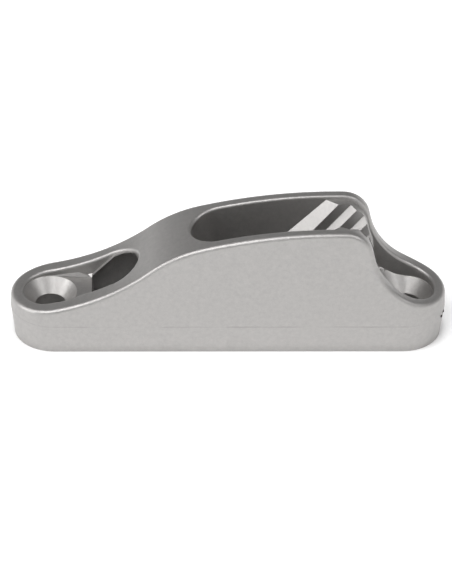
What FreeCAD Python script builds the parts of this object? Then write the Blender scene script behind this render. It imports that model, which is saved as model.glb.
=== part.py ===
"""Cast jam cleat with a rope passage, a toothed V jaw and two screw lugs, in millimetres.

The origin is the middle of the flat underside, +X runs from the rope passage to the jaw's tail,
and +Z is up. The body is one casting. Its cores are modelled as bodies of their own and cut from
it: the passage under the bridge, which opens downwards, the throat above the teeth, and the well
with its toothed jaw.
"""
import FreeCAD, Part
import math
import os
import re

import Sketcher
from FreeCAD import Vector

os.makedirs("parts", exist_ok=True)
doc = FreeCAD.newDocument("jam_cleat")

# Sizes in millimetres, degrees, or height gained for each unit of length. One that starts with an
# equals sign is worked out from the ones above it
SIZES = [
    ("hole_pitch", 66.2, "between the two screw holes"),
    ("bore_dia", 5.6, "screw hole"),
    ("seat_dia", 9.9, "countersink at the lug floor"),
    ("seat_angle", 82.0, "full angle of the countersink"),
    ("seat_margin", 0.1, "flat ring left around the countersink"),
    ("recess_half", "=seat_dia / 2 + seat_margin", "half width of the lug recesses at their floor"),
    ("recess_draft", 2.0, "draft of the recess and well walls"),
    ("rim_wall", 3.5, "from a recess's foot out to the flank, both carried to the underside"),
    ("flank_half", "=recess_half + rim_wall", "half width of the upper draft at the underside"),
    ("tip_inset", 0.85, "how far the lugs' end arcs are centred inside the screw holes"),
    ("flank_centres", "=hole_pitch - 2 * tip_inset", "between the end arcs of the upper draft"),
    ("flank_draft", 2.45, "inward draft above the parting line"),
    ("base_step", 1.1, "how far the underside's edge stands in from the flank's"),
    ("base_half", "=flank_half - base_step", "half width of the underside"),
    ("base_shift", 0.15, "how far its end arcs are centred outside the flanks' own"),
    ("base_centres", "=flank_centres + 2 * base_shift", "between the end arcs of the underside"),
    ("skirt_draft", 6.5, "outward draft below the parting line"),
    ("entry_rise", 8.9, "lowest height of the entry lug's top curve"),
    ("entry_low_x", -40.5, "where that curve is lowest"),
    ("entry_sweep", 40.5, "radius of the long hollow from the entry lug to the bridge"),
    ("shoulder_sweep", 25.4, "radius of the shoulder above the bridge"),
    ("crown_rise", 26.3, "highest point of the crown"),
    ("crown_x", 20.1, "where the crown is highest"),
    ("crown_sweep", 98.4, "radius of the crown"),
    ("nose_sweep", 5.2, "radius where the crown turns down to the tail"),
    ("tail_rake", 13.2, "lean of the steep tail face from upright"),
    ("tail_face_run", 1.89, "straight length of that face, down to the hollow behind it"),
    ("tail_face_x", 26.56, "where the face runs into the hollow"),
    ("tail_fall", 12.6, "downward slope of the tail lug's top beyond the hollow"),
    ("tail_rise", 9.3, "height of that slope over the tail end of the flanks' outline"),
    ("rim_round", 0.9, "outer rounding of the rim"),
    ("lip_round", 0.6, "rounding where a lug recess meets the rim"),
    ("well_lip_round", 0.5, "rounding where the well meets the rim"),
    ("jaw_drop", 0.8, "how far the tops of the teeth stand below the rim"),
    ("jaw_setback", 0.45, "how far their tail ends stand back from the tail face"),
    ("lug_floor", 8.4, "height of the lug floors"),
    ("step_level", 10.1, "height of the step beside the jaw on the tail lug's floor"),
    ("entry_end_x", -21.8, "centre of the entry recess's inner end arc"),
    ("mouth_x", -25.3, "where the entry floor drops into the passage"),
    ("mouth_rise", 1.036, "slope of the step on the recess wall where the two cores met"),
    ("passage_wall", 2.25, "from the passage out to the flank at the underside"),
    ("passage_half", "=flank_half - passage_wall", "half width of the passage at the underside"),
    ("passage_draft", 2.4, "draft of the passage walls"),
    ("bridge_low", 13.6, "height of the bridge's underside at the entry"),
    ("bridge_high", 18.4, "height of the bridge's underside at the well"),
    ("passage_end_x", 0.2, "inner end of the passage at the underside"),
    ("passage_end_rise", 4.0, "height of the passage at that end"),
    ("well_end_x", -1.9, "centre of the well's end arc"),
    ("well_step", 0.69, "how much narrower the well is than the recesses on each side"),
    ("well_half", "=recess_half - well_step", "half width of the well, carried to the underside"),
    ("jaw_lap", 0.64, "how far the jaw's tail end lies beyond the steep face"),
    ("jaw_end_x", "=tail_face_x + jaw_lap", "tail end of the toothed jaw"),
    ("jaw_level", 25.0, "height at which the tooth outline is set out"),
    ("jaw_run", 7.45, "from the first tooth crest at that height to the jaw's tail end"),
    ("crest_x", "=jaw_end_x - jaw_run", "first tooth crest at that height"),
    ("crest_gap", 3.55, "half gap at that crest"),
    ("tooth_pitch", 4.15, "from crest to crest along the jaw"),
    ("crest_step", 0.45, "each crest stands this much nearer the middle"),
    ("tooth_depth", 0.6, "from a crest out to the root behind it"),
    ("root_run", 1.95, "from a crest along to the root behind it"),
    ("face_slope", 0.75, "inward slope of the first tooth's face"),
    ("ridge_rise", 1.147, "height that a ridge gains along the jaw"),
    ("ridge_spread", 0.14, "outward lean that a ridge gains along the jaw"),
    ("groove_rise", 0.497, "height that the groove's floor gains along the jaw"),
    ("groove_end", 15.2, "height of the groove's floor at the jaw's tail end"),
    ("sky", 34.0, "a height above the whole casting"),
    ("reach", 52.0, "a length beyond either end of the casting"),
    ("aside", 14.0, "a width beyond either side of the casting"),
    ("overrun", 0.5, "how far the well runs past the jaw's tail end"),
]
NAMES = {name for name, _, _ in SIZES}

sheet = doc.addObject("Spreadsheet::Sheet", "sizes")
for row, (name, value, note) in enumerate(SIZES, start=1):
    sheet.set(f"A{row}", note)
    sheet.set(f"B{row}", str(value))
    sheet.setAlias(f"B{row}", name)
doc.recompute()

# Crests drawn on each side, enough for the whole jaw down to the groove's floor
CREST_COUNT = 6
# Within this distance two places count as one
TOLERANCE = 1e-3


def size(name):
    """Return one driving size."""
    return float(sheet.get(name))


def worked_out(text):
    """Return the value of an expression written with the driving sizes' names."""
    result = sheet.evalExpression(text)
    return float(getattr(result, "Value", result))


def from_sheet(text):
    """Return an expression with the sheet's name put before each driving size."""
    return re.sub(r"[a-z_]+", lambda word: ("sizes." if word[0] in NAMES else "") + word[0], text)


def new_body(label):
    """Add an empty body under its own label."""
    body = doc.addObject("PartDesign::Body", label)
    body.Label = label
    return body


def origin_plane(body, role):
    """Return one of a body's own origin planes."""
    return next(item for item in body.Origin.OriginFeatures if item.Role == role)


def new_sketch(body, name, role, height=None):
    """Attach a sketch to an origin plane of its body, lifted by an expression if one is given."""
    sketch = body.newObject("Sketcher::SketchObject", name)
    sketch.AttachmentSupport = [(origin_plane(body, role), "")]
    sketch.MapMode = "FlatFace"
    if height:
        sketch.setExpression("AttachmentOffset.Base.z", from_sheet(height))
    return sketch


def hold(sketch, kind, text, *where):
    """Add a dimension whose value is an expression over the driving sizes."""
    value = worked_out(text)
    if kind == "Angle":
        value = math.radians(value)
    index = sketch.addConstraint(Sketcher.Constraint(kind, *where, value))
    sketch.setExpression(f"Constraints[{index}]", from_sheet(text))


def pin(sketch, geometry, end, x_text, y_text):
    """Hold a sketch point at a place measured from the sketch's origin."""
    hold(sketch, "DistanceX", x_text, -1, 1, geometry, end)
    hold(sketch, "DistanceY", y_text, -1, 1, geometry, end)


def polygon(sketch, corners):
    """Draw a closed outline of straight lines through corners given as pairs of expressions."""
    places = [Vector(worked_out(x_text), worked_out(y_text), 0) for x_text, y_text in corners]
    lines = [sketch.addGeometry(Part.LineSegment(place, places[(index + 1) % len(places)]))
             for index, place in enumerate(places)]
    for index, side in enumerate(lines):
        after = lines[(index + 1) % len(lines)]
        sketch.addConstraint(Sketcher.Constraint("Coincident", side, 2, after, 1))
        pin(sketch, side, 1, *corners[index])


def arc(sketch, centre, radius, start, end):
    """Add an arc that runs anticlockwise between two angles in radians."""
    circle = Part.Circle(centre, Vector(0, 0, 1), radius)
    return sketch.addGeometry(Part.ArcOfCircle(circle, start, end))


def line(sketch, start, end):
    """Add a straight line."""
    return sketch.addGeometry(Part.LineSegment(start, end))


def join_smoothly(sketch, first, first_end, second, second_end):
    """Join two curves end to end, tangent to each other."""
    sketch.addConstraint(Sketcher.Constraint("Tangent", first, first_end, second, second_end))


def oblong(sketch, left_text, right_text, radius_text):
    """Draw a closed outline of two half circles joined by straight sides."""
    left, right = worked_out(left_text), worked_out(right_text)
    radius = worked_out(radius_text)
    far = arc(sketch, Vector(right, 0, 0), radius, -math.pi / 2, math.pi / 2)
    near = arc(sketch, Vector(left, 0, 0), radius, math.pi / 2, 3 * math.pi / 2)
    upper = line(sketch, Vector(right, radius, 0), Vector(left, radius, 0))
    lower = line(sketch, Vector(left, -radius, 0), Vector(right, -radius, 0))
    join_smoothly(sketch, far, 2, upper, 1)
    join_smoothly(sketch, upper, 2, near, 1)
    join_smoothly(sketch, near, 2, lower, 1)
    join_smoothly(sketch, lower, 2, far, 1)
    pin(sketch, far, 3, right_text, "0")
    pin(sketch, near, 3, left_text, "0")
    hold(sketch, "Radius", radius_text, far)
    sketch.addConstraint(Sketcher.Constraint("Equal", far, near))


def round_ended(sketch, centre_text, flat_text, radius_text):
    """Draw a closed outline with a half circle about one centre and a straight end elsewhere."""
    centre, flat, radius = (worked_out(text) for text in (centre_text, flat_text, radius_text))
    turn = 0.0 if flat < centre else math.pi
    side = radius if flat < centre else -radius
    end = arc(sketch, Vector(centre, 0, 0), radius, turn - math.pi / 2, turn + math.pi / 2)
    upper = line(sketch, Vector(centre, side, 0), Vector(flat, side, 0))
    across = line(sketch, Vector(flat, side, 0), Vector(flat, -side, 0))
    lower = line(sketch, Vector(flat, -side, 0), Vector(centre, -side, 0))
    join_smoothly(sketch, end, 2, upper, 1)
    join_smoothly(sketch, lower, 2, end, 1)
    for first, second in ((upper, across), (across, lower)):
        sketch.addConstraint(Sketcher.Constraint("Coincident", first, 2, second, 1))
    sketch.addConstraint(Sketcher.Constraint("Horizontal", upper))
    sketch.addConstraint(Sketcher.Constraint("Horizontal", lower))
    sketch.addConstraint(Sketcher.Constraint("Vertical", across))
    pin(sketch, end, 3, centre_text, "0")
    hold(sketch, "DistanceX", flat_text, -1, 1, across, 1)
    hold(sketch, "Radius", radius_text, end)


def extrude(body, kind, name, sketch, length_text, taper_text=None, both_ways=False):
    """Pad or pocket a sketch over a length, with an outward taper if one is given."""
    feature = body.newObject(f"PartDesign::{kind}", name)
    feature.Profile = sketch
    if both_ways:
        feature.SideType = "Symmetric"
    feature.setExpression("Length", from_sheet(length_text))
    if taper_text:
        feature.setExpression("TaperAngle", from_sheet(taper_text))
    return feature


def circles_meet(first, first_radius, second, second_radius, upper):
    """Return where two circles cross, on the upper or the lower side."""
    apart = second - first
    along = (apart.Length**2 + first_radius**2 - second_radius**2) / (2 * apart.Length)
    across = math.sqrt(first_radius**2 - along**2)
    direction = Vector(apart).normalize()
    normal = Vector(-direction.y, direction.x, 0)
    if (normal.y > 0) != upper:
        normal = -normal
    return first + direction * along + normal * across


def bearing(start, end):
    """Return the angle in radians of the way from one point to another."""
    return math.atan2(end.y - start.y, end.x - start.x)


def side_curve(sketch):
    """Draw the space above the casting, whose lower edge is the casting's top seen from the side."""
    reach, sky = size("reach"), size("sky")
    entry = Vector(size("entry_low_x"), size("entry_rise") + size("entry_sweep"), 0)
    crown = Vector(size("crown_x"), size("crown_rise") - size("crown_sweep"), 0)
    shoulder = circles_meet(entry, size("entry_sweep") + size("shoulder_sweep"),
                            crown, size("crown_sweep") - size("shoulder_sweep"), True)
    rake, fall = math.radians(size("tail_rake")), math.radians(size("tail_fall"))
    outward = Vector(math.cos(rake), math.sin(rake), 0)
    down = Vector(outward.y, -outward.x, 0)
    nose_x = size("tail_face_x") - (outward * size("nose_sweep") + down * size("tail_face_run")).x
    nose_level = math.sqrt((size("crown_sweep") - size("nose_sweep"))**2 - (nose_x - crown.x)**2)
    nose = Vector(nose_x, crown.y + nose_level, 0)
    face_start = nose + outward * size("nose_sweep")
    face_end = face_start + down * size("tail_face_run")
    tip = Vector(worked_out("flank_centres / 2 + flank_half"), size("tail_rise"), 0)
    upward = Vector(math.sin(fall), math.cos(fall), 0)
    sweep = (face_end - tip).dot(upward) / (1 - outward.dot(upward))
    tail = face_end + outward * sweep
    lip = tail - upward * sweep
    low_end = lip + Vector(1, -math.tan(fall), 0) * (reach - lip.x)

    hollow = arc(sketch, entry, size("entry_sweep"), -math.pi / 2, bearing(entry, shoulder))
    turn = arc(sketch, shoulder, size("shoulder_sweep"), bearing(crown, shoulder), bearing(shoulder, entry))
    top = arc(sketch, crown, size("crown_sweep"), bearing(crown, nose), bearing(crown, shoulder))
    corner = arc(sketch, nose, size("nose_sweep"), rake, bearing(crown, nose))
    face = line(sketch, face_start, face_end)
    dish = arc(sketch, tail, sweep, math.pi + rake, 3 * math.pi / 2 - fall)
    low_start = Vector(-reach, size("entry_rise"), 0)
    tail_run = line(sketch, lip, low_end)
    rise = line(sketch, low_end, Vector(reach, sky, 0))
    over = line(sketch, Vector(reach, sky, 0), Vector(-reach, sky, 0))
    drop_side = line(sketch, Vector(-reach, sky, 0), low_start)
    entry_run = line(sketch, low_start, Vector(entry.x, size("entry_rise"), 0))
    tip_mark = sketch.addGeometry(Part.Point(tip), True)

    join_smoothly(sketch, entry_run, 2, hollow, 1)
    join_smoothly(sketch, hollow, 2, turn, 2)
    join_smoothly(sketch, turn, 1, top, 2)
    join_smoothly(sketch, top, 1, corner, 2)
    join_smoothly(sketch, corner, 1, face, 1)
    join_smoothly(sketch, face, 2, dish, 1)
    join_smoothly(sketch, dish, 2, tail_run, 1)
    for first, second in ((tail_run, rise), (rise, over), (over, drop_side), (drop_side, entry_run)):
        sketch.addConstraint(Sketcher.Constraint("Coincident", first, 2, second, 1))
    for level in (entry_run, over):
        sketch.addConstraint(Sketcher.Constraint("Horizontal", level))
    for upright in (rise, drop_side):
        sketch.addConstraint(Sketcher.Constraint("Vertical", upright))
    pin(sketch, entry_run, 1, "-reach", "entry_rise")
    pin(sketch, rise, 2, "reach", "sky")
    pin(sketch, top, 3, "crown_x", "crown_rise - crown_sweep")
    hold(sketch, "DistanceX", "entry_low_x", -1, 1, hollow, 3)
    hold(sketch, "DistanceX", "tail_face_x", -1, 1, face, 2)
    hold(sketch, "Distance", "tail_face_run", face)
    hold(sketch, "Angle", "-tail_fall", tail_run)
    pin(sketch, tip_mark, 1, "flank_centres / 2 + flank_half", "tail_rise")
    sketch.addConstraint(Sketcher.Constraint("PointOnObject", tip_mark, 1, tail_run))
    hold(sketch, "Radius", "entry_sweep", hollow)
    hold(sketch, "Radius", "shoulder_sweep", turn)
    hold(sketch, "Radius", "crown_sweep", top)
    hold(sketch, "Radius", "nose_sweep", corner)
    hold(sketch, "Angle", "tail_rake - 90", face)


def runs_across(edge):
    """Tell whether an edge runs straight across the casting."""
    way = edge.lastVertex().Point - edge.firstVertex().Point
    return abs(way.x) + abs(way.z) < TOLERANCE and edge.Length - abs(way.y) < TOLERANCE


def faces_up_from_side_curve(face):
    """Tell whether a face was left by a cut that runs straight across the casting."""
    normals = [face.normalAt(*spot) for spot in corners_of(face)]
    return all(abs(normal.y) < 1e-6 for normal in normals) and max(normal.z for normal in normals) > 0.05


def corners_of(face):
    """Return four places of a face in its own parameters."""
    u_low, u_high, v_low, v_high = face.ParameterRange
    return [(u_low, v_low), (u_low, v_high), (u_high, v_low), (u_high, v_high)]


def rim_edges(shape, wanted=lambda edge: True):
    """Return the names of the edges that bound the top faces, except the seams across them."""
    tops = [face for face in shape.Faces if faces_up_from_side_curve(face)]
    rim = [edge for face in tops for edge in face.Edges if not runs_across(edge)]
    return [f"Edge{index}" for index, edge in enumerate(shape.Edges, start=1)
            if wanted(edge) and any(edge.isSame(other) for other in rim)]


def round_an_opening(edge):
    """Tell whether an edge lies above the lug floors and within the outer rim."""
    middle = edge.valueAt((edge.FirstParameter + edge.LastParameter) / 2)
    beyond = max(0.0, abs(middle.x) - size("hole_pitch") / 2)
    inside = math.hypot(beyond, middle.y) < size("recess_half") + size("rim_round")
    return inside and middle.z > size("lug_floor") + size("lip_round")


def bounds_the_well(edge):
    """Tell whether an edge bounds the well at the rim, above the tops of the teeth."""
    middle = edge.valueAt((edge.FirstParameter + edge.LastParameter) / 2)
    return round_an_opening(edge) and doc.getObject("air").Shape.isInside(middle, TOLERANCE, False)


def round_off(body, name, base, edges, radius_text):
    """Fillet named edges of a feature."""
    feature = body.newObject("PartDesign::Fillet", name)
    feature.Base = (base, edges)
    feature.setExpression("Radius", from_sheet(radius_text))
    return feature


def join_bodies(body, name, other, kind):
    """Combine a body with another one."""
    feature = body.newObject("PartDesign::Boolean", name)
    feature.Type = kind
    feature.setObjects([other])
    return feature


def make_upper_form():
    """Model the form above the parting line: drafted flanks under the side curve, rim rounded."""
    body = new_body("upper_form")
    outline = new_sketch(body, "flank_outline", "XY_Plane")
    oblong(outline, "-flank_centres / 2", "flank_centres / 2", "flank_half")
    extrude(body, "Pad", "flanks", outline, "sky", "-flank_draft")
    curve = new_sketch(body, "side_curve", "XZ_Plane")
    side_curve(curve)
    trimmed = extrude(body, "Pocket", "crown", curve, "2 * aside", both_ways=True)
    doc.recompute()
    round_off(body, "rim", trimmed, rim_edges(trimmed.Shape), "rim_round")
    return body


def make_passage_core():
    """Model the core below the bridge: it opens at the underside and meets the entry recess."""
    body = new_body("passage_core")
    outline = new_sketch(body, "passage_outline", "XY_Plane")
    polygon(outline, [("mouth_x", "-passage_half"), ("passage_end_x", "-passage_half"),
                      ("passage_end_x", "passage_half"), ("mouth_x", "passage_half")])
    extrude(body, "Pad", "passage_block", outline, "sky", "-passage_draft")
    above = new_sketch(body, "passage_roof", "XZ_Plane")
    polygon(above, [("-reach", "lug_floor"), ("mouth_x", "lug_floor"),
                    ("mouth_x + (bridge_low - lug_floor) / mouth_rise", "bridge_low"),
                    ("well_end_x - well_half", "bridge_high"),
                    ("passage_end_x", "passage_end_rise"), ("reach", "passage_end_rise"),
                    ("reach", "sky"), ("-reach", "sky")])
    extrude(body, "Pocket", "passage_top", above, "2 * aside", both_ways=True)
    return body


def bore(body, name, places, level, seat_text):
    """Cut countersunk screw holes down from a level, their seats as wide there as given."""
    centres = new_sketch(body, f"{name}_centres", "XY_Plane", level)
    for place in places:
        circle = centres.addGeometry(Part.Circle(Vector(worked_out(place), 0, 0), Vector(0, 0, 1), 1))
        pin(centres, circle, 3, place, "0")
        hold(centres, "Radius", "bore_dia / 2", circle)
    doc.recompute()
    holes = body.newObject("PartDesign::Hole", name)
    holes.Profile = centres
    holes.DepthType = "ThroughAll"
    holes.Threaded = False
    holes.HoleCutType = "Countersink"
    holes.HoleCutCustomValues = True
    holes.setExpression("Diameter", from_sheet("bore_dia"))
    holes.setExpression("HoleCutDiameter", from_sheet(seat_text))
    holes.setExpression("HoleCutCountersinkAngle", from_sheet("seat_angle"))
    doc.recompute()


def make_seat_step():
    """Model the step at the foot of the jaw, which the tail screw's countersink cuts into."""
    body = new_body("seat_step")
    profile = new_sketch(body, "step_profile", "XZ_Plane")
    polygon(profile, [("jaw_end_x - overrun", "lug_floor"), ("hole_pitch / 2", "lug_floor"),
                      ("hole_pitch / 2", "step_level"), ("jaw_end_x - overrun", "step_level")])
    extrude(body, "Pad", "step_block", profile, "2 * recess_half + rim_wall", both_ways=True)
    bore(body, "step_hole", ["hole_pitch / 2"], "step_level",
         "seat_dia + 2 * (step_level - lug_floor) * tan(seat_angle / 2)")
    return body


def make_throat_core():
    """Model the space above the teeth: the well's outline, down to just below the top curve."""
    body = new_body("throat_core")
    outline = new_sketch(body, "throat_outline", "XY_Plane")
    round_ended(outline, "well_end_x", "jaw_end_x + overrun", "well_half")
    extrude(body, "Pad", "throat_block", outline, "sky", "recess_draft")
    above = new_body("air")
    curve = new_sketch(above, "lowered_curve", "XZ_Plane")
    curve.setExpression("AttachmentOffset.Base.x", "-sizes.jaw_setback")
    curve.setExpression("AttachmentOffset.Base.y", "-sizes.jaw_drop")
    side_curve(curve)
    extrude(above, "Pad", "air_block", curve, "2 * aside", both_ways=True)
    join_bodies(body, "throat", above, "Common")
    return body


def make_rope_core():
    """Model the core of the well and the toothed jaw, down to the sloping groove floor."""
    body = new_body("rope_core")
    outline = new_sketch(body, "well_outline", "XY_Plane")
    round_ended(outline, "well_end_x", "jaw_end_x + overrun", "well_half")
    extrude(body, "Pad", "well", outline, "sky", "recess_draft")
    teeth = new_sketch(body, "tooth_outline", "XY_Plane", "jaw_level")
    corners = [("crest_x - aside", "crest_gap + aside * face_slope")]
    for index in range(CREST_COUNT):
        corners.append((f"crest_x + {index} * tooth_pitch", f"crest_gap - {index} * crest_step"))
        if index < CREST_COUNT - 1:
            corners.append((f"crest_x + {index} * tooth_pitch + root_run",
                            f"crest_gap - {index} * crest_step + tooth_depth"))
    corners.append((corners[-1][0], "crest_gap + aside * face_slope"))
    polygon(teeth, corners)
    jaw = body.newObject("PartDesign::Pocket", "jaw_side")
    jaw.Profile = teeth
    jaw.SideType = "Two sides"
    jaw.UseCustomVector = True
    jaw.Direction = Vector(-1, -size("ridge_spread"), -size("ridge_rise"))
    jaw.setExpression("Direction.y", "-sizes.ridge_spread")
    jaw.setExpression("Direction.z", "-sizes.ridge_rise")
    jaw.setExpression("Length", "sizes.jaw_level")
    jaw.setExpression("Length2", "sizes.sky - sizes.jaw_level")
    doc.recompute()
    other_side = body.newObject("PartDesign::Mirrored", "jaw_sides")
    other_side.Originals = [jaw]
    other_side.MirrorPlane = (origin_plane(body, "XZ_Plane"), [""])
    body.Tip = other_side
    doc.recompute()
    below = new_sketch(body, "groove_floor", "XZ_Plane")
    polygon(below, [("-reach", "groove_end - groove_rise * (jaw_end_x + reach)"),
                    ("-reach", "-reach"), ("reach", "-reach"),
                    ("reach", "groove_end + groove_rise * (reach - jaw_end_x)")])
    extrude(body, "Pocket", "groove", below, "2 * aside", both_ways=True)
    return body


def make_cleat():
    """Model the casting."""
    body = new_body("cleat_body")
    outline = new_sketch(body, "base_outline", "XY_Plane")
    oblong(outline, "-base_centres / 2", "base_centres / 2", "base_half")
    extrude(body, "Pad", "skirt", outline, "sky", "skirt_draft")
    join_bodies(body, "blank", make_upper_form(), "Common")

    entry = new_sketch(body, "entry_outline", "XY_Plane", "lug_floor")
    oblong(entry, "-hole_pitch / 2", "entry_end_x", "recess_half")
    recess = extrude(body, "Pocket", "entry_recess", entry, "sky", "recess_draft")
    recess.Reversed = True
    tail = new_sketch(body, "tail_outline", "XY_Plane", "lug_floor")
    round_ended(tail, "hole_pitch / 2", "jaw_end_x", "recess_half")
    recess = extrude(body, "Pocket", "tail_recess", tail, "sky", "recess_draft")
    recess.Reversed = True
    doc.recompute()
    stepped = join_bodies(body, "tail_step", make_seat_step(), "Fuse")
    doc.recompute()
    round_off(body, "recess_lips", stepped, rim_edges(stepped.Shape, round_an_opening), "lip_round")
    doc.recompute()
    bore(body, "screw_holes", ["-hole_pitch / 2", "hole_pitch / 2"], "lug_floor", "seat_dia")

    join_bodies(body, "passage", make_passage_core(), "Cut")
    throat = join_bodies(body, "throat_cut", make_throat_core(), "Cut")
    doc.recompute()
    round_off(body, "well_lips", throat, rim_edges(throat.Shape, bounds_the_well), "well_lip_round")
    doc.recompute()
    join_bodies(body, "well_and_jaw", make_rope_core(), "Cut")
    doc.recompute()
    return body


def export(body):
    """Check every object and write the casting's solid to its file."""
    doc.recompute()
    for item in doc.Objects:
        faults = {"Invalid", "Error"} & set(item.State)
        if faults:
            raise RuntimeError(f"{item.Label} is {faults}")
    shape = body.Shape
    if shape.isNull() or not shape.isValid() or len(shape.Solids) != 1:
        raise RuntimeError(f"{body.Label} is not one valid solid")
    shape.exportStep(f"parts/{body.Label}.step")
    box = shape.BoundBox
    print(f"{body.Label}: {box.XLength:.2f} x {box.YLength:.2f} x {box.ZLength:.2f}, {shape.Volume:.0f} mm3")


export(make_cleat())
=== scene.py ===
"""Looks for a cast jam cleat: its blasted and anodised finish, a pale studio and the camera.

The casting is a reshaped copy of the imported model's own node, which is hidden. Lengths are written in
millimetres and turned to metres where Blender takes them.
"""
import logging
import math
from collections.abc import Callable
from dataclasses import dataclass
from enum import Enum

import bmesh
import bpy
from mathutils import Matrix, Vector


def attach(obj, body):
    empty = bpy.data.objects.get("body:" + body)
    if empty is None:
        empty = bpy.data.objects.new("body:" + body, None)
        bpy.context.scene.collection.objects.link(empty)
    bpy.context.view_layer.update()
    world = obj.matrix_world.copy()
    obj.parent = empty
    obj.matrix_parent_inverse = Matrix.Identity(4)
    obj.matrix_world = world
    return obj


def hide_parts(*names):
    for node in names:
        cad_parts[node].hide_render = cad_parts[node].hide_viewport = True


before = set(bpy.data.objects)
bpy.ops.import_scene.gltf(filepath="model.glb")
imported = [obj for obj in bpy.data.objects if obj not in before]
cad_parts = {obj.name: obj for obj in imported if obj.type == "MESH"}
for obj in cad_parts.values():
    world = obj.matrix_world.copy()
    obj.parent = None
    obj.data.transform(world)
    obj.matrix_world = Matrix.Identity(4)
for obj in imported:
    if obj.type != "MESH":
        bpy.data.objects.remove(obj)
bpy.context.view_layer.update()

CASTING = "cleat_body"
MM = 0.001
# Half the length of the line between the centres of the casting's round ends
SPINE_HALF_MM = 32.3

LOG = logging.getLogger("jam_cleat")


class Ray(Enum):
    """The kinds of ray that see the floor as a plain white ground."""

    CAMERA = "Is Camera Ray"
    GLOSSY = "Is Glossy Ray"
    TRANSMISSION = "Is Transmission Ray"


def linear(hex_colour: str) -> tuple[float, float, float, float]:
    """Turn an sRGB hex colour to linear light.

    Args:
        hex_colour: Six hex digits after a hash sign.

    Returns:
        Red, green, blue and an alpha of 1.
    """
    parts = [int(hex_colour[start:start + 2], 16) / 255 for start in (1, 3, 5)]
    light = [part / 12.92 if part <= 0.04045 else ((part + 0.055) / 1.055) ** 2.4 for part in parts]
    return (light[0], light[1], light[2], 1.0)


def per_metre(grain_mm: float) -> float:
    """Return the texture scale at which one feature of a pattern is about this many millimetres wide."""
    return 1.0 / (grain_mm * MM)


def add_node(tree: bpy.types.NodeTree, kind: str, settings: dict | None = None,
             values: dict | None = None) -> bpy.types.Node:
    """Add a node with its settings, input values and links.

    Args:
        tree: The node tree.
        kind: The node's type name.
        settings: Attributes of the node itself.
        values: Input name or index to a value, or to an output socket that is linked to it.

    Returns:
        The new node.
    """
    node = tree.nodes.new(kind)
    for name, setting in (settings or {}).items():
        setattr(node, name, setting)
    for name, value in (values or {}).items():
        if isinstance(value, bpy.types.NodeSocket):
            tree.links.new(value, node.inputs[name])
        else:
            node.inputs[name].default_value = value
    return node


def new_material(name: str) -> tuple[bpy.types.Material, bpy.types.NodeTree]:
    """Return an empty node material and its tree."""
    material = bpy.data.materials.new(name)
    material.use_nodes = True
    material.node_tree.nodes.clear()
    return material, material.node_tree


def from_spine(tree: bpy.types.NodeTree, split: bpy.types.Node) -> bpy.types.NodeSocket:
    """Add the distance, seen from above, from the casting's long middle line.

    Args:
        tree: The node tree.
        split: The node that separates the place's three coordinates.

    Returns:
        The distance in metres.
    """
    along = add_node(tree, "ShaderNodeMath", {"operation": "ABSOLUTE"}, {0: split.outputs["X"]})
    past = add_node(tree, "ShaderNodeMath", {"operation": "SUBTRACT"},
                    {0: along.outputs[0], 1: SPINE_HALF_MM * MM})
    beyond = add_node(tree, "ShaderNodeMath", {"operation": "MAXIMUM"}, {0: past.outputs[0], 1: 0.0})
    spoke = add_node(tree, "ShaderNodeCombineXYZ", None,
                     {"X": beyond.outputs[0], "Y": split.outputs["Y"]})
    way = add_node(tree, "ShaderNodeVectorMath", {"operation": "LENGTH"},
                   {"Vector": spoke.outputs["Vector"]})
    return way.outputs["Value"]


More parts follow.
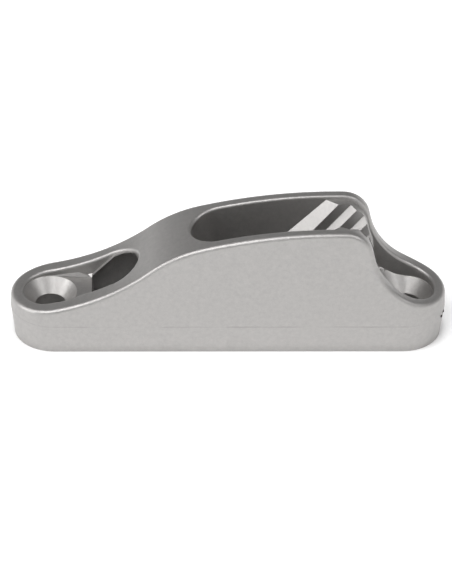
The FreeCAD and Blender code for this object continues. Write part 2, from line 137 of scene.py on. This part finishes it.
@dataclass(frozen=True)
class BlastedAluminium:
    """Aluminium die casting, bead blasted and clear anodised.

    Blasting leaves a fine even grain that spreads the light, so the metal looks satin grey with wide
    soft highlights on its rounded edges. Anodising takes off the last of the mirror shine. A faint
    broken line runs round the flanks where the two halves of the die met.
    """

    light: str = "#B3B1AF"
    dark: str = "#A2A09F"
    roughness: float = 0.43
    metal: float = 0.86
    roughness_swing: float = 0.06
    grain_mm: float = 0.30
    grain_depth_mm: float = 0.020
    blotch_mm: float = 0.9
    skin_mm: float = 2.6
    skin_depth_mm: float = 0.006
    seam_level_mm: float = 6.06
    seam_width_mm: float = 0.16
    seam_break_mm: float = 7.0
    seam_depth_mm: float = 0.05
    inside_half_mm: float = 6.6

    def build(self) -> bpy.types.Material:
        """Make the material."""
        material, tree = new_material("blasted_aluminium")
        place = add_node(tree, "ShaderNodeTexCoord").outputs["Object"]
        grain = self.noise(tree, place, self.grain_mm, 2.0)
        blotch = self.noise(tree, place, self.blotch_mm, 3.0)
        skin = self.noise(tree, place, self.skin_mm, 1.0)
        seam = self.seam(tree, place)
        speckle = add_node(tree, "ShaderNodeMath", {"operation": "MULTIPLY_ADD"},
                           {0: grain, 1: 0.7, 2: blotch})
        blend = add_node(tree, "ShaderNodeMapRange", None,
                         {"Value": speckle.outputs[0], "From Min": 0.40, "From Max": 1.30})
        tone = add_node(tree, "ShaderNodeMath", {"operation": "MULTIPLY_ADD", "use_clamp": True},
                        {0: seam, 1: -0.8, 2: blend.outputs[0]})
        colour = add_node(tree, "ShaderNodeMix", {"data_type": "RGBA"}, {"Factor": tone.outputs[0]})
        colour.inputs["A"].default_value = linear(self.dark)
        colour.inputs["B"].default_value = linear(self.light)
        rough = add_node(tree, "ShaderNodeMapRange", None,
                         {"Value": grain, "From Min": 0.3, "From Max": 0.7,
                          "To Min": self.roughness - self.roughness_swing / 2,
                          "To Max": self.roughness + self.roughness_swing / 2})
        waves = add_node(tree, "ShaderNodeBump", None,
                         {"Strength": 1.0, "Distance": self.skin_depth_mm * MM, "Height": skin})
        ridge = add_node(tree, "ShaderNodeBump", None,
                         {"Strength": 1.0, "Distance": self.seam_depth_mm * MM, "Height": seam,
                          "Normal": waves.outputs["Normal"]})
        pits = add_node(tree, "ShaderNodeBump", None,
                        {"Strength": 1.0, "Distance": self.grain_depth_mm * MM, "Height": grain,
                         "Normal": ridge.outputs["Normal"]})
        shader = add_node(tree, "ShaderNodeBsdfPrincipled", None,
                          {"Base Color": colour.outputs["Result"], "Metallic": self.metal,
                           "Roughness": rough.outputs["Result"], "Normal": pits.outputs["Normal"]})
        add_node(tree, "ShaderNodeOutputMaterial", None, {"Surface": shader.outputs["BSDF"]})
        return material

    def noise(self, tree: bpy.types.NodeTree, place: bpy.types.NodeSocket, width_mm: float,
              detail: float) -> bpy.types.NodeSocket:
        """Add noise.

        Args:
            tree: The node tree.
            place: The coordinates that it follows.
            width_mm: About how wide one patch is.
            detail: How many finer layers it has.

        Returns:
            The noise, about 0.5 on average.
        """
        node = add_node(tree, "ShaderNodeTexNoise", {"noise_dimensions": "3D"},
                        {"Vector": place, "Scale": per_metre(width_mm), "Detail": detail,
                         "Roughness": 0.6})
        return node.outputs["Fac"]

    def seam(self, tree: bpy.types.NodeTree, place: bpy.types.NodeSocket) -> bpy.types.NodeSocket:
        """Add the mask of the die's parting line, which fades in and out along the flanks.

        Args:
            tree: The node tree.
            place: The coordinates that it follows, in metres.

        Returns:
            The mask, 1 on the line and 0 away from it.
        """
        split = add_node(tree, "ShaderNodeSeparateXYZ", None, {"Vector": place})
        above = add_node(tree, "ShaderNodeMath", {"operation": "SUBTRACT"},
                         {0: split.outputs["Z"], 1: self.seam_level_mm * MM})
        gap = add_node(tree, "ShaderNodeMath", {"operation": "ABSOLUTE"}, {0: above.outputs[0]})
        band = add_node(tree, "ShaderNodeMapRange", {"interpolation_type": "SMOOTHSTEP"},
                        {"Value": gap.outputs[0], "From Min": 0.0, "From Max": self.seam_width_mm * MM,
                         "To Min": 1.0, "To Max": 0.0})
        outside = add_node(tree, "ShaderNodeMath", {"operation": "GREATER_THAN"},
                           {0: from_spine(tree, split), 1: self.inside_half_mm * MM})
        fade = add_node(tree, "ShaderNodeMapRange", None,
                        {"Value": self.noise(tree, place, self.seam_break_mm, 4.0),
                         "From Min": 0.42, "From Max": 0.62})
        line = add_node(tree, "ShaderNodeMath", {"operation": "MULTIPLY"},
                        {0: band.outputs[0], 1: outside.outputs[0]})
        broken = add_node(tree, "ShaderNodeMath", {"operation": "MULTIPLY"},
                          {0: line.outputs[0], 1: fade.outputs[0]})
        return broken.outputs[0]


@dataclass(frozen=True)
class WhiteGround:
    """A matt white sweep that shows as plain white, with the object's soft shadow on it and painted shade round
    the casting's foot, where its white lift fades out.
    """

    paint: str = "#F4F4F4"
    lift: float = 0.36
    # Painted shade: the floor gets no white lift within the first distance from the casting's middle line, and
    # the lift comes back fully by the second
    painted_shade_full_mm: float = 7.0
    painted_shade_end_mm: float = 9.5

    def build(self) -> bpy.types.Material:
        """Make the material."""
        material, tree = new_material("white_ground")
        matt = add_node(tree, "ShaderNodeBsdfDiffuse", None, {"Color": linear(self.paint)})
        path = add_node(tree, "ShaderNodeLightPath")
        seen = path.outputs[Ray.CAMERA.value]
        for ray in (Ray.GLOSSY, Ray.TRANSMISSION):
            seen = add_node(tree, "ShaderNodeMath", {"operation": "MAXIMUM"},
                            {0: seen, 1: path.outputs[ray.value]}).outputs[0]
        place = add_node(tree, "ShaderNodeTexCoord").outputs["Object"]
        split = add_node(tree, "ShaderNodeSeparateXYZ", None, {"Vector": place})
        # Painted shade round the casting's foot: the white lift fades to nothing near the casting's middle line
        lift_with_painted_shade = add_node(tree, "ShaderNodeMapRange", {"interpolation_type": "SMOOTHSTEP"},
                            {"Value": from_spine(tree, split), "From Min": self.painted_shade_full_mm * MM,
                             "From Max": self.painted_shade_end_mm * MM, "To Max": self.lift})
        level = add_node(tree, "ShaderNodeMath", {"operation": "MULTIPLY"},
                         {0: seen, 1: lift_with_painted_shade.outputs["Result"]})
        glow = add_node(tree, "ShaderNodeEmission", None,
                        {"Color": (1.0, 1.0, 1.0, 1.0), "Strength": level.outputs[0]})
        both = add_node(tree, "ShaderNodeAddShader", None,
                        {0: matt.outputs["BSDF"], 1: glow.outputs["Emission"]})
        add_node(tree, "ShaderNodeOutputMaterial", None, {"Surface": both.outputs["Shader"]})
        return material


@dataclass(frozen=True)
class RimCurve:
    """The casting's top seen from the side, from the entry lug to the crown, in millimetres."""

    hollow: tuple[float, float, float] = (-40.5, 49.4, 40.5)
    shoulder: tuple[float, float, float] = (1.26, -1.57, 25.4)
    crown: tuple[float, float, float] = (20.1, -72.1, 98.4)
    hollow_end: float = -14.9
    shoulder_end: float = -5.3

    def level(self, x: float) -> float:
        """Return the rim's height at a place along the casting."""
        if x < self.hollow_end:
            middle, level, radius = self.hollow
            return level - math.sqrt(radius**2 - (x - middle)**2)
        middle, level, radius = self.shoulder if x < self.shoulder_end else self.crown
        return level + math.sqrt(radius**2 - (x - middle)**2)


@dataclass(frozen=True)
class Mouth:
    """The passage's mouth, where the narrower lower core broke through the entry recess.

    The lower core leaves a narrow sloping ledge along the recess's walls, and its own rounded edge
    where it reaches the rim.
    """

    rim: RimCurve = RimCurve()
    floor: float = 8.4
    recess_half: float = 5.05
    draft: float = 2.0
    end_x: float = -21.8
    slope: float = 1.036
    slope_x: float = -25.3
    roof: tuple[float, float] = (-20.28, 13.6)
    roof_slope: float = 0.3424
    half: float = 4.36
    shift: float = 0.5
    new_end_x: float = -21.3
    lip: float = 0.88
    edge_drop: float = 0.66
    row_gap: float = 0.08
    near_from: float = -31.0
    near_to: float = -26.0
    near_move: float = 0.72
    slices: tuple[float, ...] = (-30.2, -29.0, -28.0, -27.0, -26.2, -24.4, -23.8, -23.2, -22.6, -21.8,
                                 -21.3, -20.8, -20.28, -19.6, -19.0, -18.4, -17.8, -17.3)
    near: float = 0.04

    def spoke(self, spot: Vector) -> float:
        """Return how far a place is from the recess's middle line."""
        return math.hypot(max(0.0, spot.x - self.end_x), spot.y)

    def wall(self, level: float) -> float:
        """Return how far the recess's wall is from its middle line at a height."""
        return self.recess_half + (level - self.floor) * math.tan(math.radians(self.draft))

    def old_edge(self, x: float) -> float:
        """Return the height of the core's upper surface in the imported model."""
        ramp = self.floor + self.slope * (x - self.slope_x)
        return min(ramp, self.roof[1] + self.roof_slope * (x - self.roof[0]))

    def new_edge(self, x: float) -> float:
        """Return the height of the mouth's edge as it is in the photograph."""
        ramp = self.floor + self.slope * (x - self.slope_x + self.shift)
        return min(ramp, self.rim.level(x) - self.edge_drop)

    def holds(self, spot: Vector) -> bool:
        """Tell whether a place in millimetres lies in the entry recess."""
        return -32.0 < spot.x < -15.8 and abs(spot.y) < 6.0 and spot.z > self.floor - 0.1

    def on_wall(self, spot: Vector) -> bool:
        """Tell whether a place lies on the recess's wall."""
        return self.holds(spot) and abs(self.spoke(spot) - self.wall(spot.z)) < self.near

    def reshape(self, shape: bmesh.types.BMesh) -> None:
        """Give the mouth its own narrower outline.

        Args:
            shape: The casting's mesh in metres, which is changed.
        """
        for x in self.slices:
            cut_across(shape, Vector((x, 0.0, 0.0)), Vector((1.0, 0.0, 0.0)), self.holds)
        ramp = Vector((-self.slope, 0.0, 1.0))
        lower = Vector((self.slope_x, 0.0, self.floor + self.row_gap))
        cut_across(shape, lower, ramp, lambda spot: self.on_wall(spot) and spot.x < self.roof[0] + self.near)
        upper = Vector((self.roof[0], 0.0, self.roof[1] + self.row_gap))
        cut_across(shape, upper, Vector((-self.roof_slope, 0.0, 1.0)),
                   lambda spot: self.on_wall(spot) and spot.x > self.roof[0] - self.near)
        for vertex in shape.verts:
            spot = vertex.co / MM
            if self.holds(spot):
                vertex.co = self.moved(spot) * MM

    def moved(self, spot: Vector) -> Vector:
        """Return where a place in the entry recess goes, in millimetres."""
        out = self.spoke(spot)
        past_wall = out - self.wall(spot.z)
        edge = self.old_edge(spot.x)
        along = smooth((spot.x - self.slope_x) / (self.end_x - self.slope_x))
        slide = self.shift * (2.0 * along - 1.0)
        if spot.x > self.slope_x and abs(past_wall) < self.near and spot.z < edge + self.near:
            place = self.drawn_in(spot, out, self.recess_half - self.half, slide)
            place.z = self.floor if spot.z < self.floor + self.near else self.new_edge(place.x)
            return place
        if abs(spot.x - (self.slope_x + 0.35)) < self.near and spot.z < edge + 0.1:
            return Vector((spot.x - self.shift, spot.y, spot.z))
        if past_wall < -self.near or past_wall > self.lip + self.near:
            return spot
        if spot.x > self.end_x:
            turn = math.degrees(math.atan2(spot.y, spot.x - self.end_x))
            part = smooth((90.0 - turn) / 60.0)
        else:
            part = smooth((spot.x - self.near_from) / (self.near_to - self.near_from)) if spot.y < 0 else 0.0
        place = self.drawn_in(spot, out, self.near_move * part, slide * part if spot.x > self.end_x else 0.0)
        if spot.z < edge + self.row_gap + self.near and spot.x > self.slope_x:
            place.z = self.new_edge(place.x) + self.row_gap / 2
        else:
            place.z = spot.z + self.rim.level(place.x) - self.rim.level(spot.x)
        return place

    def drawn_in(self, spot: Vector, out: float, inward: float, slide: float) -> Vector:
        """Return a place moved towards the recess's middle line and along the casting."""
        scale = (out - inward) / out
        x = self.end_x + (spot.x - self.end_x) * scale if spot.x > self.end_x else spot.x
        return Vector((x + slide, spot.y * scale, spot.z))


@dataclass(frozen=True)
class JawRoots:
    """The narrow flats between the teeth of the jaw."""

    level: float = 25.0
    first_crest: float = 19.75
    pitch: float = 4.15
    half_gap: float = 3.55
    step: float = 0.45
    depth: float = 0.6
    root_run: float = 1.95
    flat_end: float = 2.72
    rise: float = 1.147
    spread: float = 0.14
    count: int = 4
    near: float = 0.03

    def holds(self, spot: Vector) -> bool:
        """Tell whether a place in millimetres lies in the jaw."""
        return -2.0 < spot.x < 28.4 and abs(spot.y) < 4.9 and spot.z > 0.5

    def face(self, tooth: int, run: float, spot: Vector) -> float:
        """Return how far a tooth's face is from the middle, at a run behind its crest."""
        crest = self.half_gap - tooth * self.step
        fall = (self.depth + self.step) * (run - self.root_run) / (self.pitch - self.root_run)
        return crest + self.depth - fall + self.spread / self.rise * (spot.z - self.level)

    def reshape(self, shape: bmesh.types.BMesh) -> None:
        """Widen each root to a flat.

        Args:
            shape: The casting's mesh in metres, which is changed.
        """
        out = self.face(0, self.root_run, Vector()) - self.face(0, self.flat_end, Vector())
        for tooth in range(self.count):
            x = self.first_crest + tooth * self.pitch + self.flat_end
            cut_across(shape, Vector((x, 0.0, self.level)), Vector((-self.rise, 0.0, 1.0)), self.holds)
            for vertex in shape.verts:
                spot = vertex.co / MM
                on_cut = abs(spot.x - (spot.z - self.level) / self.rise - x) < self.near
                if on_cut and self.holds(spot) and \
                        abs(abs(spot.y) - self.face(tooth, self.flat_end, spot)) < self.near:
                    vertex.co.y += math.copysign(out * MM, spot.y)


@dataclass(frozen=True)
class TailWall:
    """The tail recess's near wall, which stands further out and shows more of the screw hole."""

    centre_x: float = 33.1
    half: float = 5.05
    floor: float = 8.4
    draft: float = 2.0
    lip: float = 0.85
    near: float = 0.04
    move: float = 0.5
    start_x: float = 28.6
    full_x: float = 32.0
    full_turn: float = 50.0
    rim_fall: float = 12.6

    def reshape(self, shape: bmesh.types.BMesh) -> None:
        """Move the wall and its lip outwards.

        Args:
            shape: The casting's mesh in metres, which is changed.
        """
        for vertex in shape.verts:
            spot = vertex.co / MM
            if spot.x < self.start_x or spot.y > 0.0 or spot.z < self.floor - self.near:
                continue
            along = max(0.0, spot.x - self.centre_x)
            out = math.hypot(along, spot.y)
            wall = self.half + (spot.z - self.floor) * math.tan(math.radians(self.draft))
            if not wall - self.near < out < wall + self.lip:
                continue
            turn = math.degrees(math.atan2(-spot.y, along))
            move = self.move * smooth((spot.x - self.start_x) / (self.full_x - self.start_x)) \
                * smooth(turn / self.full_turn)
            step = Vector((along, spot.y, 0.0)) * (move / out)
            if spot.z > self.floor + self.near:
                step.z = -step.x * math.tan(math.radians(self.rim_fall))
            vertex.co += step * MM


def smooth(part: float) -> float:
    """Return a share from 0 to 1 that starts and stops gently."""
    part = min(1.0, max(0.0, part))
    return part * part * (3.0 - 2.0 * part)


def cut_across(shape: bmesh.types.BMesh, spot: Vector, normal: Vector,
               wanted: Callable[[Vector], bool]) -> None:
    """Cut the faces that lie wholly in a region, without opening them.

    Args:
        shape: The mesh in metres, which is changed.
        spot: A point of the cutting plane, in millimetres.
        normal: The plane's normal.
        wanted: Tells whether a corner, in millimetres, lies in the region.
    """
    faces = [face for face in shape.faces if all(wanted(corner.co / MM) for corner in face.verts)]
    edges = {edge for face in faces for edge in face.edges}
    corners = {corner for face in faces for corner in face.verts}
    bmesh.ops.bisect_plane(shape, geom=[*corners, *edges, *faces], dist=1e-7, plane_co=spot * MM,
                           plane_no=normal.normalized())


@dataclass
class Casting:
    """The cleat's one casting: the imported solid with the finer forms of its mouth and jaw."""

    finish: BlastedAluminium = BlastedAluminium()
    mouth: Mouth = Mouth()
    roots: JawRoots = JawRoots()
    tail_wall: TailWall = TailWall()
    weld_mm: float = 0.0005
    crease: float = 28.0

    def build(self) -> bpy.types.Object:
        """Make the dressed casting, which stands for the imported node."""
        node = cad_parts[CASTING]
        shape = bmesh.new()
        shape.from_mesh(node.data)
        bmesh.ops.remove_doubles(shape, verts=shape.verts, dist=self.weld_mm * MM)
        self.mouth.reshape(shape)
        self.roots.reshape(shape)
        self.tail_wall.reshape(shape)
        bmesh.ops.triangulate(shape, faces=[face for face in shape.faces if len(face.verts) > 3])
        bmesh.ops.dissolve_degenerate(shape, dist=1e-8, edges=shape.edges)
        loose = [edge for edge in shape.edges if len(edge.link_faces) != 2]
        LOG.info("%s has %d faces and %d open edges", CASTING, len(shape.faces), len(loose))
        for face in shape.faces:
            face.smooth = True
        for edge in shape.edges:
            edge.smooth = len(edge.link_faces) == 2 and edge.calc_face_angle() < math.radians(self.crease)
        mesh = bpy.data.meshes.new("cast_cleat")
        shape.to_mesh(mesh)
        shape.free()
        casting = bpy.data.objects.new("cast_cleat", mesh)
        bpy.context.scene.collection.objects.link(casting)
        mesh.materials.append(self.finish.build())
        even = casting.modifiers.new("even_shading", "WEIGHTED_NORMAL")
        even.keep_sharp = True
        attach(casting, "root")
        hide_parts(CASTING)
        LOG.info("%s dressed as blasted aluminium", casting.name)
        return casting


@dataclass(frozen=True)
class DarkOxide:
    """The dark skin of a torn bit of casting flash."""

    paint: str = "#2B2725"
    roughness: float = 0.7

    def build(self) -> bpy.types.Material:
        """Make the material."""
        material, tree = new_material("dark_oxide")
        shader = add_node(tree, "ShaderNodeBsdfPrincipled", values={
            "Base Color": linear(self.paint), "Roughness": self.roughness})
        add_node(tree, "ShaderNodeOutputMaterial", values={"Surface": shader.outputs["BSDF"]})
        return material


@dataclass
class FlashSpecks:
    """The torn bits of flash on the parting line at the tail's end."""

    spine_end_mm: float = SPINE_HALF_MM
    out_mm: float = 8.17
    # Turn about the round end in degrees, height and the speck's half width, half length and half height
    specks: tuple[tuple[float, float, float, float, float], ...] = (
        (-19.0, 5.78, 0.22, 0.3, 0.34), (-25.0, 5.2, 0.19, 0.28, 0.3))
    detail: int = 2

    def build(self) -> bpy.types.Object:
        """Make the specks as one piece, half sunk in the casting."""
        shape = bmesh.new()
        for turn, level, width, length, height in self.specks:
            place = Matrix.Translation((self.spine_end_mm * MM, 0.0, level * MM)) \
                @ Matrix.Rotation(math.radians(turn), 4, "Z") @ Matrix.Translation((self.out_mm * MM, 0.0, 0.0)) \
                @ Matrix.Diagonal((width * MM, length * MM, height * MM, 1.0))
            bmesh.ops.create_icosphere(shape, subdivisions=self.detail, radius=1.0, matrix=place)
        for face in shape.faces:
            face.smooth = True
        mesh = bpy.data.meshes.new("flash_specks")
        shape.to_mesh(mesh)
        shape.free()
        specks = bpy.data.objects.new("flash_specks", mesh)
        bpy.context.scene.collection.objects.link(specks)
        mesh.materials.append(DarkOxide().build())
        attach(specks, "root")
        LOG.info("%s added at the parting line", specks.name)
        return specks


@dataclass
class SoftBox:
    """A flat rectangular lamp, aimed at the casting."""

    name: str
    azimuth: float
    elevation: float
    distance_mm: float
    width_mm: float
    height_mm: float
    watts: float

    def build(self, target: Vector) -> None:
        """Hang the lamp.

        Args:
            target: The point that it faces, in metres.
        """
        turn, lift = math.radians(self.azimuth), math.radians(self.elevation)
        way = Vector((math.sin(turn) * math.cos(lift), -math.cos(turn) * math.cos(lift), math.sin(lift)))
        lamp = bpy.data.lights.new(self.name, "AREA")
        lamp.shape = "RECTANGLE"
        lamp.size = self.width_mm * MM
        lamp.size_y = self.height_mm * MM
        lamp.energy = self.watts
        holder = bpy.data.objects.new(self.name, lamp)
        holder.location = target + way * self.distance_mm * MM
        holder.rotation_euler = way.to_track_quat("Z", "Y").to_euler()
        bpy.context.scene.collection.objects.link(holder)
        LOG.info("%s hung", self.name)


@dataclass
class Studio:
    """The plain ground, the lamps and the dim room around them."""

    ground_mm: float = 6000.0
    ground_gap_mm: float = 0.02
    room_light: float = 0.22
    horizon_light: float = 1.0
    haze_low: float = 0.05
    haze_high: float = 0.38

    def build(self) -> None:
        """Set up the ground, the room and the lamps."""
        self.lay_ground()
        self.light_room()
        target = Vector((0.0, 0.0, 12.0 * MM))
        for lamp in (SoftBox("front_softbox", -38.0, 59.0, 700.0, 600.0, 380.0, 3.0),
                     SoftBox("left_softbox", -78.0, 23.0, 800.0, 420.0, 420.0, 2.2),
                     SoftBox("right_softbox", 56.0, 47.0, 800.0, 360.0, 360.0, 1.5)):
            lamp.build(target)

    def lay_ground(self) -> None:
        """Lay the ground under the casting."""
        shape = bmesh.new()
        bmesh.ops.create_grid(shape, x_segments=1, y_segments=1, size=self.ground_mm * MM / 2)
        bmesh.ops.translate(shape, vec=(0.0, 0.0, -self.ground_gap_mm * MM), verts=shape.verts)
        mesh = bpy.data.meshes.new("ground")
        shape.to_mesh(mesh)
        shape.free()
        ground = bpy.data.objects.new("ground", mesh)
        ground.data.materials.append(WhiteGround().build())
        bpy.context.scene.collection.objects.link(ground)
        LOG.info("ground laid")

    def light_room(self) -> None:
        """Give the room a plain light, white along the floor and darker higher up."""
        world = bpy.data.worlds.new("room")
        world.use_nodes = True
        tree = world.node_tree
        tree.nodes.clear()
        way = add_node(tree, "ShaderNodeTexCoord").outputs["Generated"]
        split = add_node(tree, "ShaderNodeSeparateXYZ", None, {"Vector": way})
        level = add_node(tree, "ShaderNodeMapRange", {"interpolation_type": "SMOOTHSTEP"},
                         {"Value": split.outputs["Z"], "From Min": self.haze_low, "From Max": self.haze_high,
                          "To Min": self.horizon_light, "To Max": self.room_light})
        backdrop = add_node(tree, "ShaderNodeBackground", None,
                            {"Color": (1.0, 1.0, 1.0, 1.0), "Strength": level.outputs["Result"]})
        add_node(tree, "ShaderNodeOutputWorld", None, {"Surface": backdrop.outputs[0]})
        bpy.context.scene.world = world


@dataclass
class PhotoCamera:
    """The camera at the photograph's viewing angle.

    The aim point's place in the picture is a pixel of a picture 452 wide and 584 high.
    """

    turn: float = 1.932
    elevation: float = 35.5
    roll: float = -1.096
    distance_mm: float = 725.6
    pixels_per_mm: float = 5.3808
    aim_height_mm: float = 12.0
    aim_pixel: tuple[float, float] = (228.59, 275.59)
    picture: tuple[int, int] = (452, 584)
    sensor_mm: float = 36.0

    def build(self) -> None:
        """Make the camera and look through it."""
        turn, lift, roll = (math.radians(angle) for angle in (self.turn, self.elevation, self.roll))
        back = Vector((-math.sin(turn) * math.cos(lift), -math.cos(turn) * math.cos(lift), math.sin(lift)))
        level = Vector((math.cos(turn), -math.sin(turn), 0.0))
        upright = back.cross(level)
        right = level * math.cos(roll) - upright * math.sin(roll)
        up = level * math.sin(roll) + upright * math.cos(roll)
        aim = Vector((0.0, 0.0, self.aim_height_mm))
        eye = aim + back * self.distance_mm
        across = (self.picture[0] / 2 - self.aim_pixel[0]) / self.pixels_per_mm
        down = (self.picture[1] / 2 - self.aim_pixel[1]) / self.pixels_per_mm
        middle = aim + right * across - up * down
        axis = (eye - middle).normalized()
        side = up.cross(axis).normalized()
        facing = Matrix((side, axis.cross(side), axis)).transposed().to_4x4()
        lens = bpy.data.cameras.new("photo_camera")
        lens.sensor_fit = "HORIZONTAL"
        lens.sensor_width = self.sensor_mm
        lens.lens = self.sensor_mm * self.pixels_per_mm * self.distance_mm / self.picture[0]
        lens.clip_start = 10.0 * MM
        camera = bpy.data.objects.new("photo_camera", lens)
        camera.matrix_world = Matrix.Translation(eye * MM) @ facing
        bpy.context.scene.collection.objects.link(camera)
        bpy.context.scene.camera = camera
        LOG.info("camera set at %.0f mm", self.distance_mm)


def main() -> None:
    """Dress the casting and set up the studio and the camera."""
    logging.basicConfig(level=logging.INFO)
    bpy.context.scene.view_settings.view_transform = "Standard"
    PhotoCamera().build()
    Casting().build()
    FlashSpecks().build()
    Studio().build()


if __name__ == "__main__":
    main()
